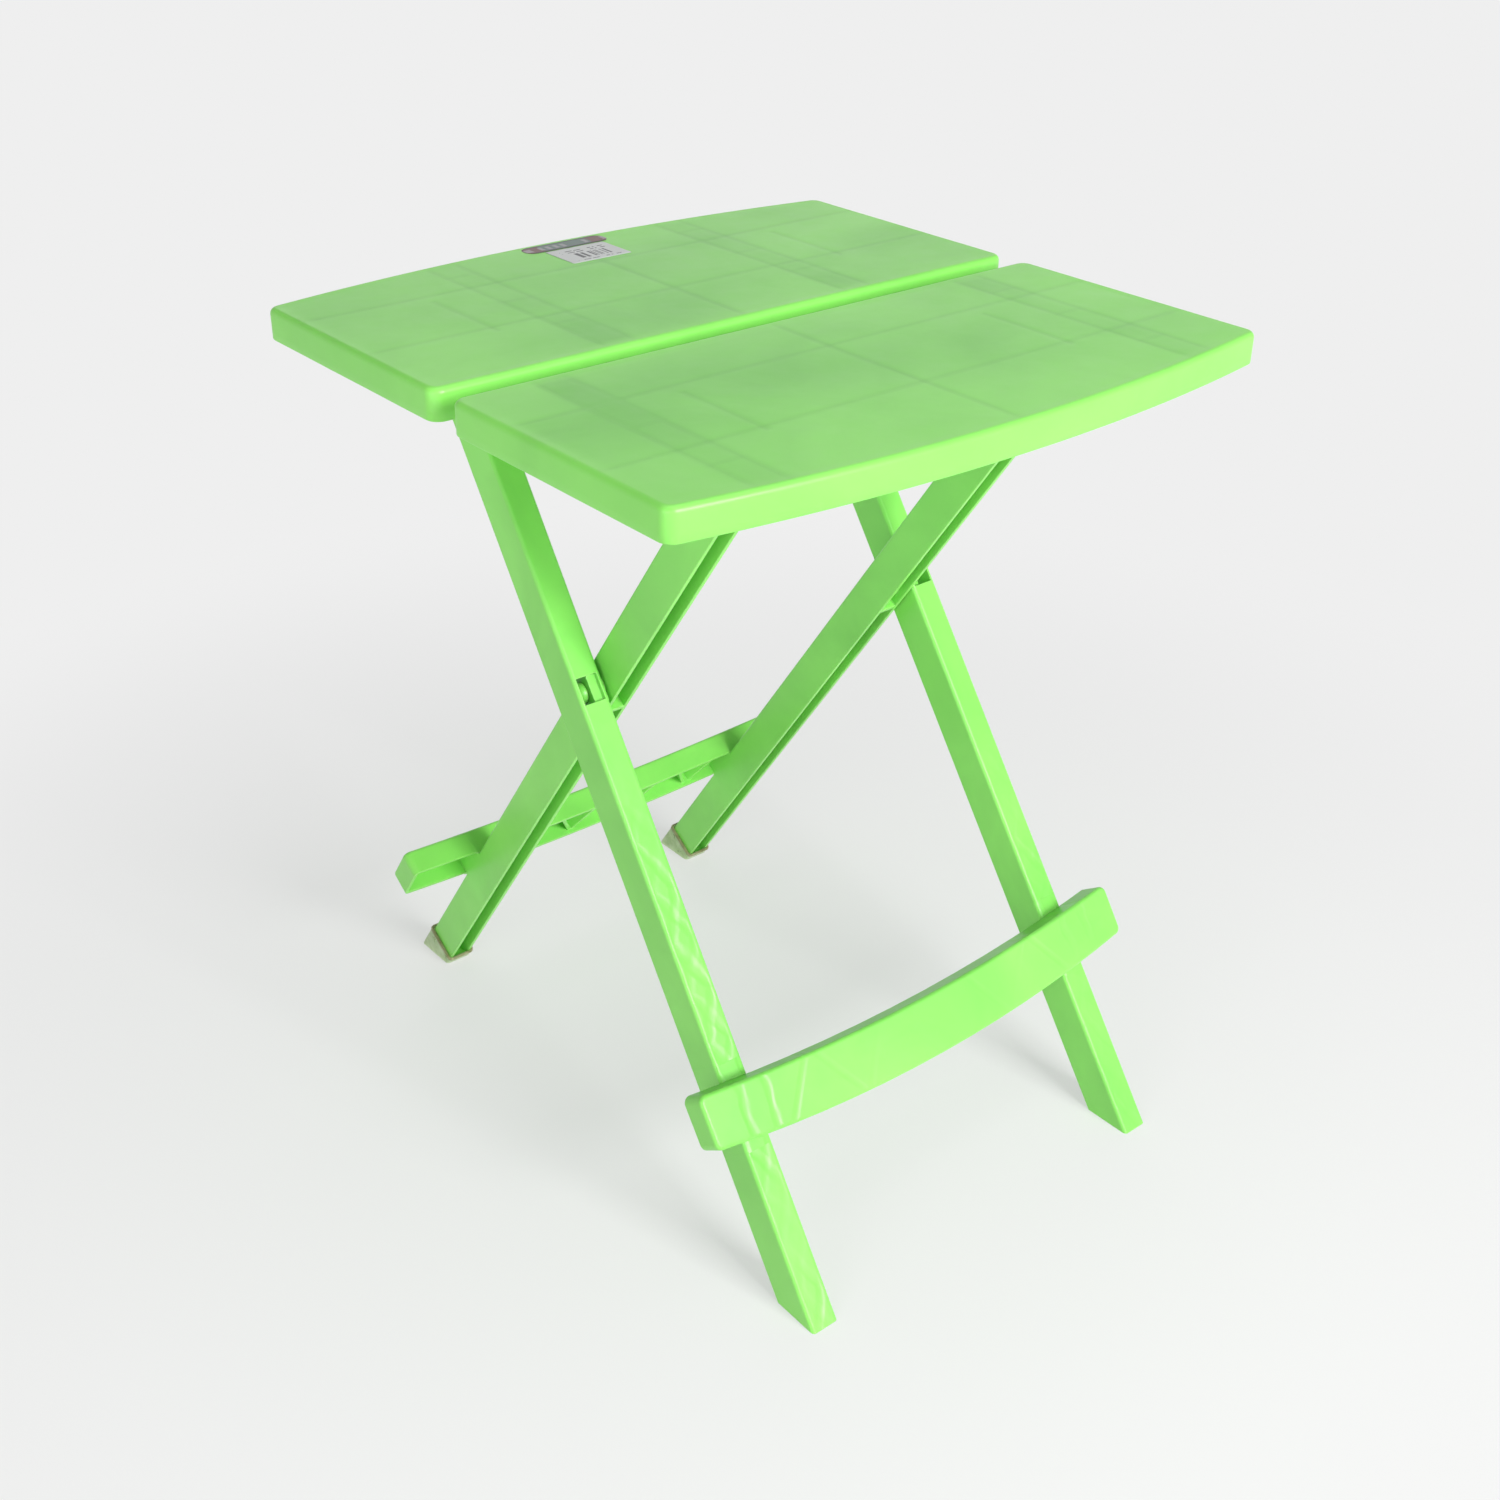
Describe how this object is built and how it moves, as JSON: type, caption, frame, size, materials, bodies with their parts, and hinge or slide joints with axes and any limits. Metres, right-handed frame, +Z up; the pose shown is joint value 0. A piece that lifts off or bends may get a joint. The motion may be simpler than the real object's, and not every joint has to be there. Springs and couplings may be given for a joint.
{
  "type": "folding side table",
  "caption": "Folding plastic side table: a split top of two bowed leaves on crossed channel-section leg frames with curved crossbars; it closes flat.",
  "frame": {"origin": "on the floor, at the middle of the open table's footprint", "axes": "+X along the gap between the two leaves, +Z up, -Y towards the feet of the outer frame"},
  "size_m": [0.408, 0.4598, 0.5002],
  "materials": {
    "green_plastic": "satin injection-moulded polypropylene, lime green",
    "clear_vinyl": "soft cloudy translucent vinyl, slightly yellowed",
    "label_paper": null,
    "sticker_film": null
  },
  "bodies": {
    "outer_frame": {"outer_frame": "green_plastic", "rear_hinge_pin_left": "green_plastic", "rear_hinge_pin_right": "green_plastic"},
    "inner_frame": {"inner_frame": "green_plastic", "front_hinge_pin_left": "green_plastic", "front_hinge_pin_right": "green_plastic", "scissor_pin_left": "green_plastic", "scissor_pin_right": "green_plastic", "foot_cap_left": "clear_vinyl", "foot_cap_right": "clear_vinyl"},
    "rear_leaf": {"rear_leaf": "green_plastic", "price_label": "label_paper", "maker_sticker": "sticker_film"},
    "front_leaf": {"front_leaf": "green_plastic"}
  },
  "joints": [
    {"name": "scissor_fold", "type": "hinge", "parent": "outer_frame", "child": "inner_frame", "pos_m": [0, 0, 0.3075], "axis": [-1, 0, 0], "range_deg": [0, 69.5]},
    {"name": "rear_leaf_fold", "type": "hinge", "parent": "outer_frame", "child": "rear_leaf", "pos_m": [0, 0.10317, 0.4555], "axis": [-1, 0, 0], "range_deg": [0, 124.6]},
    {"name": "front_leaf_fold", "type": "hinge", "parent": "inner_frame", "child": "front_leaf", "pos_m": [0, -0.10317, 0.4555], "axis": [1, 0, 0], "range_deg": [0, 124.6]}
  ],
  "couplings": [
    {"joint": "rear_leaf_fold", "follows": "scissor_fold", "ratio": 1.7901},
    {"joint": "front_leaf_fold", "follows": "scissor_fold", "ratio": 1.7901}
  ]
}
